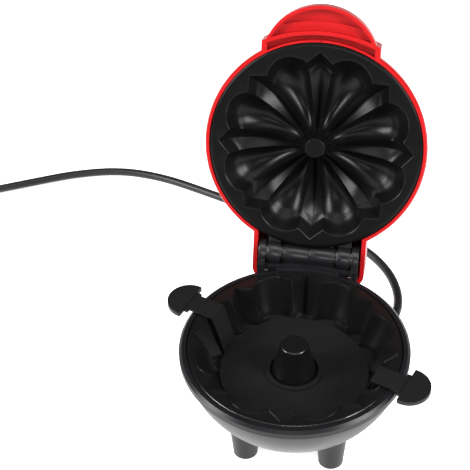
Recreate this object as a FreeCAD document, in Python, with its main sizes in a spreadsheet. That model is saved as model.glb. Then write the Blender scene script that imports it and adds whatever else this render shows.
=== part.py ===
import FreeCAD, Part
import math
import os
import Sketcher
from FreeCAD import Placement, Rotation, Vector

# Small electric ring-cake maker: a bowl-shaped base on four feet, a fluted pan with a centre post,
# and a lid on a rear hinge. Millimetres, +Z up, front towards -Y. The origin is on the table,
# under the bowl's axis. Lid pieces are drawn closed and then swung open about the hinge.

SIZES = [
    ("pan_plane", 67.9, "height of the base plate's top face above the table"),
    ("bowl_radius", 66.0, "radius of the ellipsoid that gives the bowl's outside"),
    ("bowl_depth", 67.4, "half the height of that ellipsoid"),
    ("bowl_rise", 8.0, "height of that ellipsoid's centre above the base plate"),
    ("base_rim_radius", 66.4, "radius of the band round the bowl's rim"),
    ("base_rim_height", 5.0, "height of that band"),
    ("lid_radius", 65.6, "widest radius of the lid"),
    ("lid_lip_radius", 64.9, "radius of the lid at its edge"),
    ("lid_drop", 1.2, "distance from the lid's edge to its widest circle"),
    ("lid_depth", 47.6, "height of the lid above its widest circle"),
    ("wall", 2.4, "moulded wall"),
    ("plate_radius", 61.9, "radius of the base plate"),
    ("plate_seat", 62.3, "radius of the mouth that the base plate sits in"),
    ("lid_plate_radius", 63.0, "radius of the lid plate"),
    ("lid_seat", 63.2, "radius of the mouth that the lid plate sits in"),
    ("plate_flange", 3.0, "thickness of a plate's flat flange"),
    ("casting", 2.6, "thickness of the cast pan walls"),
    ("parting_gap", 2.5, "gap between the closed plates"),
    ("spike_radius", 57.7, "cavity outline, tip of a spike"),
    ("notch_radius", 51.2, "cavity outline, corner between spike and lobe"),
    ("notch_angle", 8.4, "angle from a spike's tip to the corner beside it, degrees"),
    ("lobe_radius", 57.1, "cavity outline, top of a lobe"),
    ("pan_draft", 0.857, "size of the pan's floor against its mouth"),
    ("pan_depth", 23.3, "depth of the pan"),
    ("lip_height", 1.0, "raised lip round the pan's mouth"),
    ("lip_width", 1.3, "width of that lip"),
    ("post_top", 7.8, "radius of the centre post at its top"),
    ("post_foot", 13.6, "radius of the centre post at the pan's floor"),
    ("lid_wall_depth", 7.3, "depth at which the lid cavity's wall meets its flutes"),
    ("lid_wall_draft", 0.885, "size of the lid cavity at that depth against its mouth"),
    ("foot_circle", 35.9, "distance of the feet from the axis"),
    ("foot_radius", 7.3, "radius of a foot at the bottom"),
    ("foot_root", 9.4, "radius of a foot where it joins the bowl"),
    ("foot_top", 27.0, "top of a foot's cone, inside the bowl's wall"),
    ("pad_height", 1.6, "rubber pad under a foot"),
    ("well_radius", 3.5, "screw well in a foot"),
    ("well_top", 14.0, "top of the screw well"),
    ("tower_radius", 4.2, "screw tower"),
    ("tower_top", 30.0, "top of the screw towers"),
    ("shield_sheet", 0.6, "sheet steel of the heat shields"),
    ("screw_radius", 2.0, "large screw"),
    ("small_screw", 1.5, "small screw"),
    ("running_gap", 0.05, "radial clearance of a shaft in its hole"),
    ("hinge_back", 69.7, "distance of the hinge axis behind the bowl's axis"),
    ("hinge_rise", 6.85, "height of the hinge axis above the base plate"),
    ("open_angle", 109.3, "lid opening, degrees"),
    ("pin_radius", 2.5, "hinge pin"),
    ("hood_half", 34.1, "half the hinge hood's width"),
    ("hood_back", 85.5, "back face of the hinge hood"),
    ("hood_top", 30.0, "top of the hinge hood above the base plate"),
    ("hood_wall", 2.6, "wall of the hinge hood"),
    ("hood_lift", 7.5, "how far the hood's back wall stops above the lid plane"),
    ("handle_radius", 34.2, "plan radius of the handle tab"),
    ("handle_back", 50.0, "distance of the tab's centre in front of the bowl's axis"),
    ("handle_lip", 2.0, "raised lip along the tab's edge"),
    ("band_radius", 82.2, "outer radius of the band across the tab's root"),
    ("band_centre", 12.6, "distance of the band's centre behind the bowl's axis"),
    ("band_wall", 2.3, "wall of that band in front of the slot"),
    ("slot_inner", 64.3, "radius of the wall between the slot and the lid plate"),
    ("lifter_turn", -20.7, "direction of the lifter's right strap, degrees"),
    ("lifter_radius", 43.4, "lifter disc"),
    ("lifter_sheet", 1.8, "thickness of the lifter disc"),
    ("strap_width", 13.0, "lifter strap"),
    ("strap_sheet", 1.1, "thickness of a lifter strap"),
    ("tab_radius", 12.7, "finger tab"),
    ("tab_centre", 71.0, "distance of a finger tab's centre from the axis"),
    ("tab_flat", 69.8, "distance of a finger tab's straight edge from the axis"),
    ("tab_height", 3.0, "thickness of a finger tab"),
    ("heater_radius", 26.0, "centre line of a heating tube"),
    ("heater_tube", 3.0, "radius of a heating tube"),
    ("cord_radius", 2.85, "mains cord"),
    ("gland_length", 28.5, "strain relief outside the bowl"),
    ("coil_radius", 31.5, "middle of the stored cord's turns"),
    ("coil_x", -304.0, "centre of the stored turns"),
    ("coil_y", 207.5, "centre of the stored turns"),
    ("coil_half_width", 5.9, "half the width of the bundle of turns"),
    ("coil_height", 11.6, "height of the bundle of turns"),
]

doc = FreeCAD.newDocument("RingCakeMaker")
sheet = doc.addObject("Spreadsheet::Sheet", "Sizes")
for row, (alias, value, note) in enumerate(SIZES, start=1):
    sheet.set(f"A{row}", note)
    sheet.set(f"B{row}", str(value))
    sheet.setAlias(f"B{row}", alias)
doc.recompute()


class Dim:
    """A size that carries both its value and the spreadsheet expression that gives it."""

    def __init__(self, value, text):
        self.value = value
        self.text = text

    def combine(self, sign, other):
        other = as_dim(other)
        results = {
            "+": self.value + other.value,
            "-": self.value - other.value,
            "*": self.value * other.value,
        }
        return Dim(results[sign], f"({self.text} {sign} {other.text})")

    def __add__(self, other):
        return self.combine("+", other)

    def __sub__(self, other):
        return self.combine("-", other)

    def __mul__(self, other):
        return self.combine("*", other)

    def __radd__(self, other):
        return as_dim(other) + self

    def __rsub__(self, other):
        return as_dim(other) - self

    def __rmul__(self, other):
        return self * other

    def __neg__(self):
        return self * -1

    def __float__(self):
        return self.value


def as_dim(value):
    """A plain number as a Dim, so that both kinds can be mixed in a formula."""
    return value if isinstance(value, Dim) else Dim(float(value), f"{float(value):.6f}")


class Sheet:
    """Every alias of the spreadsheet as an attribute."""


size = Sheet()
for alias, value, note in SIZES:
    setattr(size, alias, Dim(value, "Sizes." + alias))

PARTS = []


# ---- helpers: primitives, booleans and sketched bodies, all bound to the sheet ----

def bind(obj, **sizes):
    """Set properties, and bind those that come from the sheet."""
    for name, value in sizes.items():
        setattr(obj, name, float(value))
        if isinstance(value, Dim):
            obj.setExpression(name, value.text)
    return obj


def place(obj, x=0, y=0, z=0, rotation=None):
    """Put an object somewhere, with each coordinate bound if it comes from the sheet."""
    position = Vector(float(x), float(y), float(z))
    obj.Placement = Placement(position, rotation or Rotation())
    for axis, value in zip("xyz", (x, y, z)):
        if isinstance(value, Dim):
            obj.setExpression("Placement.Base." + axis, value.text)
    return obj


TURNS = {
    "z": Rotation(),
    "x": Rotation(Vector(0, 1, 0), 90),
    "y": Rotation(Vector(1, 0, 0), -90),
    "-y": Rotation(Vector(1, 0, 0), 90),
    "-z": Rotation(Vector(1, 0, 0), 180),
}


def cylinder(name, radius, height, x=0, y=0, z=0, along="z"):
    """A cylinder that starts at (x, y, z) and runs along an axis."""
    obj = bind(doc.addObject("Part::Cylinder", name), Radius=radius, Height=height)
    return place(obj, x, y, z, TURNS[along])


def cone(name, start_radius, end_radius, height, x=0, y=0, z=0, along="z"):
    obj = bind(doc.addObject("Part::Cone", name),
               Radius1=start_radius, Radius2=end_radius, Height=height)
    return place(obj, x, y, z, TURNS[along])


def block(name, x_range, y_range, z_range):
    """A box between two coordinates along each axis."""
    (x0, x1), (y0, y1), (z0, z1) = x_range, y_range, z_range
    obj = bind(doc.addObject("Part::Box", name), Length=x1 - x0, Width=y1 - y0, Height=z1 - z0)
    return place(obj, x0, y0, z0)


def half_ellipsoid(name, rise, radius, x=0, y=0, z=0, upper=False):
    """Half an ellipsoid of revolution about Z, below its widest circle, or above it."""
    obj = bind(doc.addObject("Part::Ellipsoid", name), Radius1=rise, Radius2=radius)
    obj.Angle1 = 0 if upper else -90
    obj.Angle2 = 90 if upper else 0
    return place(obj, x, y, z)


def bowl_form(name, depth, radius, top):
    """The part of the bowl's ellipsoid that lies below a level."""
    whole = half_ellipsoid(name + "_whole", depth, radius, z=BOWL_CENTRE)
    return common(name, whole, cylinder(name + "_below", size.bowl_radius + 5, top, z=0))


def fuse(name, *shapes):
    obj = doc.addObject("Part::MultiFuse", name)
    obj.Shapes = list(shapes)
    return obj


def cut(name, base, *tools):
    obj = doc.addObject("Part::Cut", name)
    obj.Base = base
    obj.Tool = tools[0] if len(tools) == 1 else fuse(name + "_tools", *tools)
    return obj


def common(name, first, second):
    obj = doc.addObject("Part::Common", name)
    obj.Base = first
    obj.Tool = second
    return obj


def compound(name, *shapes):
    """Several separate solids in one node."""
    obj = doc.addObject("Part::Compound", name)
    obj.Links = list(shapes)
    return obj


def rounded(name, base, radius, wanted):
    """Fillet the edges of base that wanted(edge) picks."""
    doc.recompute()
    picked = [n for n, edge in enumerate(base.Shape.Edges, start=1) if wanted(edge)]
    obj = doc.addObject("Part::Fillet", name)
    obj.Base = base
    obj.Edges = [(n, float(radius), float(radius)) for n in picked]
    return obj


def shape_feature(name, shape):
    """A shape worked out from the sheet's sizes with Part's own functions."""
    obj = doc.addObject("Part::Feature", name)
    obj.Shape = shape
    return obj


def sketch_outline(body, plane, outline):
    """A closed outline of straight sides, with every corner bound to the sheet."""
    sketch = body.newObject("Sketcher::SketchObject", body.Name + "_outline")
    origin = [f for f in body.Origin.OriginFeatures if f.Role == plane][0]
    sketch.AttachmentSupport = (origin, "")
    sketch.MapMode = "FlatFace"
    corners = [Vector(float(a), float(b), 0) for a, b in outline]
    count = len(corners)
    for i in range(count):
        sketch.addGeometry(Part.LineSegment(corners[i], corners[(i + 1) % count]))
    for i in range(count):
        sketch.addConstraint(Sketcher.Constraint("Coincident", i, 2, (i + 1) % count, 1))
    for i, corner in enumerate(outline):
        for kind, axis, value in zip(("DistanceX", "DistanceY"), (-2, -1), corner):
            if abs(float(value)) < 1e-9:
                sketch.addConstraint(Sketcher.Constraint("PointOnObject", i, 1, axis))
                continue
            number = sketch.addConstraint(Sketcher.Constraint(kind, -1, 1, i, 1, float(value)))
            if isinstance(value, Dim):
                sketch.setExpression(f"Constraints[{number}]", value.text)
    return sketch


def turned(name, outline):
    """A PartDesign body turned about Z from an outline of (radius, height) corners."""
    body = doc.addObject("PartDesign::Body", name)
    sketch = sketch_outline(body, "XZ_Plane", outline)
    doc.recompute()
    revolution = body.newObject("PartDesign::Revolution", name + "_turn")
    revolution.Profile = sketch
    revolution.ReferenceAxis = (sketch, ["V_Axis"])
    revolution.Angle = 360
    body.Tip = revolution
    return body


def padded(name, plane, outline, length):
    """A PartDesign body padded to both sides of an origin plane."""
    body = doc.addObject("PartDesign::Body", name)
    sketch = sketch_outline(body, plane, outline)
    doc.recompute()
    pad = body.newObject("PartDesign::Pad", name + "_pad")
    pad.Profile = sketch
    bind(pad, Length=length)
    pad.Midplane = True
    body.Tip = pad
    return body


def part(label, obj, lid=False):
    """Register a finished piece; a lid piece is swung open about the hinge."""
    obj.Label = label
    if lid:
        obj.Placement = LID_OPEN.multiply(obj.Placement)
    PARTS.append(obj)
    return obj


# ---- planes and axes that the pieces share ----

PLANE = size.pan_plane
LID_PLANE = size.pan_plane + size.parting_gap
BOWL_CENTRE = size.pan_plane + size.bowl_rise
DOME_CENTRE = LID_PLANE + size.lid_drop
LID_BACK = LID_PLANE + 19.4
HINGE_Y = size.hinge_back
HINGE_Z = size.pan_plane + size.hinge_rise
FOOT_XY = size.foot_circle * math.sqrt(0.5)
CORNERS = [(1, 1), (-1, 1), (-1, -1), (1, -1)]
CORNER_NAMES = ["rear_right", "rear_left", "front_left", "front_right"]
LID_OPEN = Placement(Vector(), Rotation(Vector(1, 0, 0), -float(size.open_angle)),
                     Vector(0, float(HINGE_Y), float(HINGE_Z)))
SPIKES = 8
SECTOR = 2 * math.pi / SPIKES


# ---- the fluted cavity, shared by base and lid ----

def polar(radius, angle, z):
    return Vector(radius * math.cos(angle), radius * math.sin(angle), z)


def flower(scale, margin, z):
    """Outline of eight pointed spikes and eight round lobes, as a wire at height z."""
    spike = float(size.spike_radius) * scale + margin * 1.4
    notch = float(size.notch_radius) * scale + margin
    lobe = float(size.lobe_radius) * scale + margin
    half = math.radians(float(size.notch_angle))
    edges = []
    for n in range(SPIKES):
        tip = n * SECTOR
        before = polar(notch, tip - half, z)
        after = polar(notch, tip + half, z)
        following = polar(notch, tip + SECTOR - half, z)
        edges.append(Part.LineSegment(before, polar(spike, tip, z)).toShape())
        edges.append(Part.LineSegment(polar(spike, tip, z), after).toShape())
        edges.append(Part.Arc(after, polar(lobe, tip + SECTOR / 2, z), following).toShape())
    return Part.Wire(edges)


def flower_solid(name, bottom, top):
    """A drafted solid between two flower outlines, each (scale, margin, z)."""
    return shape_feature(name, Part.makeLoft([flower(*bottom), flower(*top)], True, True))


# Depth of the lid's flutes below the lid plane, by distance from the axis along each line.
# Each row: distance along the spike, then depth in the groove, on the ridge and in the lobe.
FLUTE_DEPTHS = [
    (3.0, -1.5, -1.5, -1.5),
    (5.6, 0.0, 0.0, 0.0),
    (8.0, 6.6, 4.8, 7.0),
    (11.5, 10.6, 7.6, 11.6),
    (19.0, 13.5, 9.9, 15.2),
    (27.5, 14.4, 10.6, 16.4),
    (36.0, 14.1, 10.1, 15.2),
    (42.5, 12.6, 7.9, 12.0),
    (47.5, 9.8, 3.9, 6.6),
    (51.5, 6.6, -0.6, 1.4),
    (56.5, 1.0, -7.0, -5.5),
]


def flute_section(distance, depths, plane, roof):
    """One cross-section of a 45 degree wedge of the flutes, across its spike line."""
    groove, ridge, lobe = depths
    ridge_side = distance * math.tan(math.radians(float(size.notch_angle)))
    lobe_side = distance * math.tan(SECTOR / 2)
    shoulder = ridge_side + 0.4 * (lobe_side - ridge_side)

    def at(side, depth):
        return Vector(distance, side, plane + depth)

    def rounded_side(sign):
        curve = Part.BezierCurve()
        curve.setPoles([at(sign * ridge_side, ridge), at(sign * shoulder, lobe),
                        at(sign * lobe_side, lobe)])
        return curve.toShape()

    return Part.Wire([
        Part.LineSegment(at(lobe_side, roof), at(-lobe_side, roof)).toShape(),
        Part.LineSegment(at(-lobe_side, roof), at(-lobe_side, lobe)).toShape(),
        rounded_side(-1),
        Part.LineSegment(at(-ridge_side, ridge), at(0, groove)).toShape(),
        Part.LineSegment(at(0, groove), at(ridge_side, ridge)).toShape(),
        rounded_side(1),
        Part.LineSegment(at(lobe_side, lobe), at(lobe_side, roof)).toShape(),
    ])


def flute_wedges(plane, back):
    """Eight wedges under the lid's flutes: the cavity itself, or the metal that backs it."""
    sections = []
    for distance, *depths in FLUTE_DEPTHS:
        if back:
            depths = [max(depth + float(size.casting), 3.0) for depth in depths]
        sections.append(flute_section(distance, depths, plane, 0.5 if back else -14.0))
    wedge = Part.makeLoft(sections, True, False)
    wedges = []
    for n in range(SPIKES):
        turned_wedge = wedge.copy()
        turned_wedge.Placement = Placement(Vector(), Rotation(Vector(0, 0, 1),
                                                              math.degrees(n * SECTOR)))
        wedges.append(turned_wedge)
    return wedges


# ---- base: shell, feet, screws ----

def bowl_outside(name):
    """The base's outer form: part of an ellipsoid, with a band round its rim."""
    bowl = bowl_form(name + "_bowl", size.bowl_depth, size.bowl_radius, PLANE - 3)
    band = cylinder(name + "_band", size.base_rim_radius, size.base_rim_height - 1.6,
                    z=PLANE - size.base_rim_height)
    edge = cone(name + "_edge", size.base_rim_radius, size.base_rim_radius - 1.6, 1.6,
                z=PLANE - 1.6)
    return fuse(name, bowl, band, edge)


def bowl_inside(name, gap):
    """The base's hollow, drawn in by gap."""
    return bowl_form(name, size.bowl_depth - size.wall - gap, size.bowl_radius - size.wall - gap,
                     PLANE - 3)


# The cord leaves low at the rear right; the gland's axis dips towards the table.
GLAND_START = Vector(19.7, 37.7, 24.9)
GLAND_HEADING = math.radians(55.0)
GLAND_DIP = math.radians(20.0)
GLAND_AXIS = Vector(math.cos(GLAND_DIP) * math.cos(GLAND_HEADING),
                    math.cos(GLAND_DIP) * math.sin(GLAND_HEADING), -math.sin(GLAND_DIP))
GLAND_BOSS = (-5.0, 1.5)
GLAND_NECK = 4.6
ROUND_ABOUT_GLAND = Rotation(Vector(0, 0, 1), GLAND_AXIS)

# What stands on the shell's floor inside: the cord clamp's two posts and the terminal block's one.
CLAMP = Vector(0.0, 28.8, 21.4)
CLAMP_SCREWS = (-6.0, 6.0)
TERMINAL = Vector(-18.0, 10.0, 19.6)


def along_gland(obj, distance):
    """Stand an object that was drawn along +Z on the gland's axis."""
    obj.Placement = Placement(GLAND_START + GLAND_AXIS * distance, ROUND_ABOUT_GLAND)
    return obj


def make_base_shell():
    solids = [bowl_outside("base_outside")]
    wells = []
    towers = []
    bores = []
    for (sx, sy), name in zip(CORNERS, CORNER_NAMES):
        x, y = FOOT_XY * sx, FOOT_XY * sy
        solids.append(cone("foot_" + name, size.foot_radius, size.foot_root,
                           size.foot_top - size.pad_height, x, y, size.pad_height))
        wells.append(cylinder("well_" + name, size.well_radius, size.well_top, x, y, 0))
        towers.append(cylinder("tower_" + name, size.tower_radius,
                               size.tower_top - size.well_top, x, y, size.well_top))
        bores.append(cylinder("bore_" + name, size.screw_radius + size.running_gap, size.tower_top,
                              x, y, 1))
    hollow = bowl_inside("base_hollow", 0)
    mouth = cylinder("base_mouth", size.plate_seat, 10, z=PLANE - 4)
    hinge_notch = block("hinge_notch", (-31.1, 31.1), (40, 80), (PLANE - 10.1, PLANE + 4))
    inner_posts = [along_gland(cylinder("gland_boss", 7.4, GLAND_BOSS[1] - GLAND_BOSS[0]),
                               GLAND_BOSS[0]),
                   cylinder("terminal_post", 3.4, TERMINAL.z - 13.2, TERMINAL.x, TERMINAL.y, 13.2)]
    inner_holes = [along_gland(cylinder("cord_hole", GLAND_NECK + 0.05, 20), -12),
                   along_gland(cylinder("collar_seat", 6.45, 12), GLAND_BOSS[1]),
                   along_gland(cylinder("flange_pocket", 5.85, 9), GLAND_BOSS[0] - 9)]
    for side, offset in enumerate(CLAMP_SCREWS):
        inner_posts.append(cylinder(f"clamp_post_{side}", 2.8, CLAMP.z - 17.2, CLAMP.x + offset,
                                    CLAMP.y, 17.2))
        inner_holes.append(cylinder(f"clamp_post_hole_{side}",
                                    size.small_screw + size.running_gap, 8, CLAMP.x + offset,
                                    CLAMP.y, 18.9))
    screw_seats = []
    for side in (-1, 1):
        x = side * 14
        screw_seats.append(cylinder(f"seat_{side}", 3.15, 6, x, 58.6, PLANE - 16, "y"))
        screw_seats.append(cylinder(f"hole_{side}", size.small_screw + size.running_gap, 12,
                                    x, 50, PLANE - 16, "y"))
    empty_shell = cut("base_empty", fuse("base_form", *solids), hollow, mouth, hinge_notch)
    with_posts = fuse("base_with_posts", empty_shell, *towers, *inner_posts)
    part("base_shell", cut("base_shell", with_posts, *wells, *bores, *inner_holes, *screw_seats))


def make_foot_pads():
    """Rubber pads, each with a plug that fills the mouth of the screw well."""
    for (sx, sy), name in zip(CORNERS, CORNER_NAMES):
        pad = turned("foot_pad_" + name, [
            (0, 0), (size.foot_radius - 0.7, 0), (size.foot_radius, 0.7),
            (size.foot_radius, size.pad_height), (size.well_radius - 0.1, size.pad_height),
            (size.well_radius - 0.1, size.pad_height + 3), (0, size.pad_height + 3)])
        place(pad, FOOT_XY * sx, FOOT_XY * sy, 0)
        part("foot_pad_" + name, pad)


def screw(name, radius, head_radius, head_height, length):
    """A pan-head screw with a cross slot, its head's flat side at z = 0 and its shaft up."""
    shaft = cylinder(name + "_shaft", radius, length)
    head = cone(name + "_head", head_radius - 0.6, head_radius, head_height, z=-head_height)
    slots = [block(name + f"_slot_{n}", (-a, a), (-b, b), (-head_height - 1, 1 - head_height))
             for n, (a, b) in enumerate([(head_radius * 0.6, 0.4), (0.4, head_radius * 0.6)])]
    return cut(name, fuse(name + "_form", shaft, head), *slots)


def make_base_case_screws():
    """Four long screws, up through the feet into the pan's bosses."""
    screws = []
    for (sx, sy), name in zip(CORNERS, CORNER_NAMES):
        piece = screw("case_screw_" + name, size.screw_radius, 3.3, 2.4, 27)
        screws.append(place(piece, FOOT_XY * sx, FOOT_XY * sy, size.well_top))
    part("base_case_screws", compound("case_screws", *screws))


# ---- base: pan and what heats it ----

PAN_FLOOR = PLANE - size.pan_depth
PAN_UNDERSIDE = PAN_FLOOR - size.casting


def make_base_plate():
    """Cast pan: flange, raised lip, drafted fluted wall, hollow centre post, four bosses."""
    plane, floor, under = float(PLANE), float(PAN_FLOOR), float(PAN_UNDERSIDE)
    draft, lip = float(size.pan_draft), float(size.lip_height)
    flange = rounded("pan_flange", cylinder("pan_flange_disc", size.plate_radius,
                                            size.plate_flange, z=PLANE - size.plate_flange),
                     1.0, lambda e: abs(e.BoundBox.ZMin - plane) < 0.01 and e.Length > 100)
    outer = flower_solid("pan_outside", (draft, float(size.casting), under),
                         (1.0, float(size.casting), plane - 1))
    rim = flower_solid("pan_lip", (1.0, float(size.lip_width), plane - 1),
                       (1.0, float(size.lip_width) - 0.3, plane + lip))
    cavity = flower_solid("pan_cavity", (draft, 0, floor), (1.01, 0, plane + lip + 0.5))
    post = cone("post", size.post_foot, size.post_top, size.pan_depth, z=PAN_FLOOR)
    post_round = rounded("post_round", post, 1.2, lambda e: abs(e.BoundBox.ZMin - plane) < 0.01)
    post_hollow = cone("post_hollow", size.post_foot - size.casting, size.post_top - size.casting,
                       size.pan_depth, z=PAN_UNDERSIDE)
    bosses = []
    for (sx, sy), name in zip(CORNERS, CORNER_NAMES):
        bosses.append(cylinder("boss_" + name, size.tower_radius, 13, FOOT_XY * sx, FOOT_XY * sy,
                               size.tower_top + size.shield_sheet))
    threads = [cylinder("thread_" + name, size.screw_radius + size.running_gap, 12.5,
                        FOOT_XY * sx, FOOT_XY * sy, size.tower_top)
               for (sx, sy), name in zip(CORNERS, CORNER_NAMES)]
    open_pan = cut("open_pan", fuse("pan_form", flange, outer, rim), cavity)
    with_post = fuse("pan_with_post", open_pan, post_round, *bosses)
    part("base_plate", cut("base_plate", with_post, post_hollow, *threads))


def heater(name, z_centre, lid=False):
    """Heating tube bent to an open ring, with two cold ends that turn away from the plate."""
    away = 1 if lid else -1
    ring = bind(doc.addObject("Part::Torus", name + "_ring"), Radius1=size.heater_radius,
                Radius2=size.heater_tube)
    ring.Angle3 = 325
    place(ring, 0, 0, z_centre, Rotation(Vector(0, 0, 1), 107.5))
    ends = []
    for side in (-1, 1):
        angle = math.radians(90 + side * 17.5)
        x, y = size.heater_radius * math.cos(angle), size.heater_radius * math.sin(angle)
        z = z_centre if lid else z_centre - 9
        ends.append(cylinder(f"{name}_end_{side}", size.heater_tube - 0.2, 9, x, y, z))
        tip = z_centre + 9 if lid else z_centre - 13
        ends.append(cylinder(f"{name}_pin_{side}", 1.1, 4, x, y, tip))
    return fuse(name, ring, *ends)


def thermal_disc(name, x, y, z, lid=False):
    """Snap-action disc thermostat: a cup with two blade terminals."""
    cup = cylinder(name + "_cup", 5.2, 5.5, x, y, z - 5.5)
    blades = [block(f"{name}_blade_{n}", (x + a, x + a + 0.8), (y - 1.6, y + 1.6),
                    (z - 9.5, z - 5)) for n, a in enumerate((-3.2, 2.4))]
    return fuse(name, cup, *blades)


def thermal_fuse(name, x, y, z):
    """One-shot fuse in its sleeve, with a lead out of each end."""
    sleeve = cylinder(name + "_sleeve", 1.9, 11, x - 5.5, y, z, "x")
    leads = cylinder(name + "_leads", 0.5, 17, x - 8.5, y, z, "x")
    return fuse(name, sleeve, leads)


def tube_along(points, radius):
    """A round tube along straight runs joined by tangent arcs, and its smallest radius."""
    edges = []
    smallest = math.inf
    start = points[0]
    for before, corner, after in zip(points, points[1:], points[2:]):
        run_in, run_out = corner - before, after - corner
        turn = run_in.getAngle(run_out)
        reach = 0.45 * min(run_in.Length, run_out.Length)
        smallest = min(smallest, reach / math.tan(turn / 2))
        begin = corner - run_in.normalize() * reach
        end = corner + run_out.normalize() * reach
        inward = (begin + end) * 0.5 - corner
        bend = reach / math.tan(turn / 2)
        to_centre = math.hypot(bend, reach)
        middle = corner + inward.normalize() * (to_centre - bend)
        edges.append(Part.LineSegment(start, begin).toShape())
        edges.append(Part.Arc(begin, middle, end).toShape())
        start = end
    edges.append(Part.LineSegment(start, points[-1]).toShape())
    path = Part.Wire(edges)
    direction = points[1] - points[0]
    section = Part.Wire([Part.makeCircle(radius, points[0], direction)])
    tube = path.makePipeShell([section], True, False)
    expected = math.pi * radius ** 2 * path.Length
    return tube, path.Length, smallest, tube.Volume / expected


def report_tube(name, points, radius):
    tube, length, smallest, ratio = tube_along(points, radius)
    print(f"{name}: length {length:.1f}, smallest bend radius {smallest:.1f}, "
          f"volume over section x length {ratio:.4f}")
    return shape_feature(name, tube)


SHIELD_TOP = size.tower_top + size.shield_sheet
HEATER_Z = PAN_UNDERSIDE - size.heater_tube - 0.05


def make_base_heating():
    part("base_heater", heater("base_heater", HEATER_Z))
    dish = turned("base_dish", [
        (0, size.tower_top), (43.5, size.tower_top), (43.5, size.tower_top + 7),
        (42.9, size.tower_top + 7), (42.9, SHIELD_TOP), (0, SHIELD_TOP)])
    holes = [cylinder("shield_hole_" + name, size.screw_radius + size.running_gap, 4,
                      FOOT_XY * sx, FOOT_XY * sy, size.tower_top - 2)
             for (sx, sy), name in zip(CORNERS, CORNER_NAMES)]
    heater_slot = block("shield_heater_slot", (-11.5, 11.5), (20, 29.5),
                        (size.tower_top - 2, SHIELD_TOP + 2))
    wire_hole = cylinder("shield_wire_hole", 8.5, 6, z=size.tower_top - 2)
    sensor_hole = cylinder("shield_sensor_hole", 7, 6, 0, -17, size.tower_top - 2)
    gland_room = along_gland(cylinder("shield_gland_room", 8.4, 16), -12)
    part("base_heat_shield", cut("base_heat_shield", dish, *holes, heater_slot, wire_hole,
                                 sensor_hole, gland_room))
    part("base_thermostat", thermal_disc("base_thermostat", 0, -17, PAN_UNDERSIDE - 0.02))
    part("base_thermal_fuse", thermal_fuse("base_fuse", 0, 15.5, PAN_UNDERSIDE - 2.0))


def make_base_wiring():
    """Terminal block on its post, and the leads from it to the heater and the thermostat."""
    x, y, z = TERMINAL
    base = block("terminal_body", (x - 5, x + 5), (y - 9, y + 5), (z, z + 7.5))
    wells = [cylinder(f"terminal_well_{n}", 1.6, 3, x, y + dy, z + 5)
             for n, dy in enumerate((-6, -2, 2))]
    part("terminal_block", cut("terminal_block", base, *wells))
    pin_x, pin_y, pin_z = 7.82, 24.8, float(HEATER_Z) - 13.05
    face = x + 5.05
    right = [Vector(face, y - 1, 22), Vector(face + 2.5, y - 1, 22), Vector(-3, 12, 20.5),
             Vector(pin_x, 17.5, 20.5), Vector(pin_x, pin_y, 20.0), Vector(pin_x, pin_y, pin_z)]
    left = [Vector(face, y + 3, 22.5), Vector(face + 2, y + 3, 22.5), Vector(-8, 16, 20.5),
            Vector(-pin_x, pin_y, 19.5), Vector(-pin_x, pin_y, pin_z)]
    sensor = [Vector(face, y - 6, 22), Vector(face + 2.5, y - 6, 22), Vector(-4, -2, 24),
              Vector(2.8, -16, 25.0), Vector(2.8, -17, 32.2)]
    pieces = [report_tube(f"lead_{n}", route, 0.9)
              for n, route in enumerate((right, left, sensor))]
    part("base_wiring", compound("base_wiring", *pieces))


# ---- hinge ----

EAR_INNER = 26.2
EAR_OUTER = 30.4
KNUCKLE_INNER = 17.4
KNUCKLE_OUTER = 25.4
CENTRE_HALF = 16.6
EAR_RADIUS = 8.5
CENTRE_RADIUS = 6.2
KNUCKLE_RADIUS = 7.6


def cradle(name, start, width):
    """A trough under an outer knuckle, open at the top and cut lower behind it."""
    ring = cut(name + "_ring",
               cylinder(name + "_outer", 11.3, width, start, HINGE_Y, HINGE_Z, "x"),
               cylinder(name + "_inner", 8.1, width + 2, start - 1, HINGE_Y, HINGE_Z, "x"))
    front = block(name + "_front", (start - 1, start + width + 1), (55, HINGE_Y),
                  (PLANE - 8, HINGE_Z - 2.2))
    rear = block(name + "_rear", (start - 1, start + width + 1), (HINGE_Y - 1, 85),
                 (PLANE - 8, HINGE_Z - 4))
    return common(name, ring, fuse(name + "_zone", front, rear))


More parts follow.
